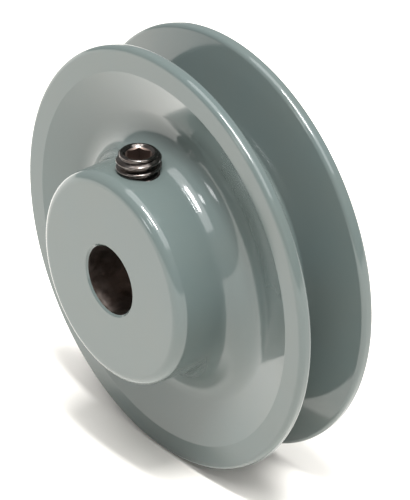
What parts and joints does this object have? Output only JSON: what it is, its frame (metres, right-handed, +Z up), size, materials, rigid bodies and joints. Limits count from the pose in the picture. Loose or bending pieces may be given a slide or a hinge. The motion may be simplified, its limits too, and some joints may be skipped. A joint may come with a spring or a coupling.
{
  "type": "v belt pulley",
  "caption": "Small cast V-belt pulley with dished sides, a long hub with a plain bore, and a socket set screw in the hub.",
  "frame": {"origin": "on the bore's axis, midway between the hub's nose and the rear face", "axes": "+Y along the bore's axis, from the hub's nose to the rear face; +Z up, along the set screw's axis; the pulley stands on its two rims"},
  "size_m": [0.0774, 0.027, 0.0774],
  "materials": {
    "grey_paint": "glossy blue-grey paint with a faint orange peel, on cast iron",
    "black_steel": "black oxide, oiled and shiny"
  },
  "bodies": {
    "pulley": {"pulley_wheel": "grey_paint"},
    "screw": {"set_screw": "black_steel"}
  },
  "joints": [
    {"name": "set_screw_travel", "type": "slide", "parent": "pulley", "child": "screw", "axis": [0, 0, 1], "range_m": [-0.00706, 0.00423]}
  ]
}
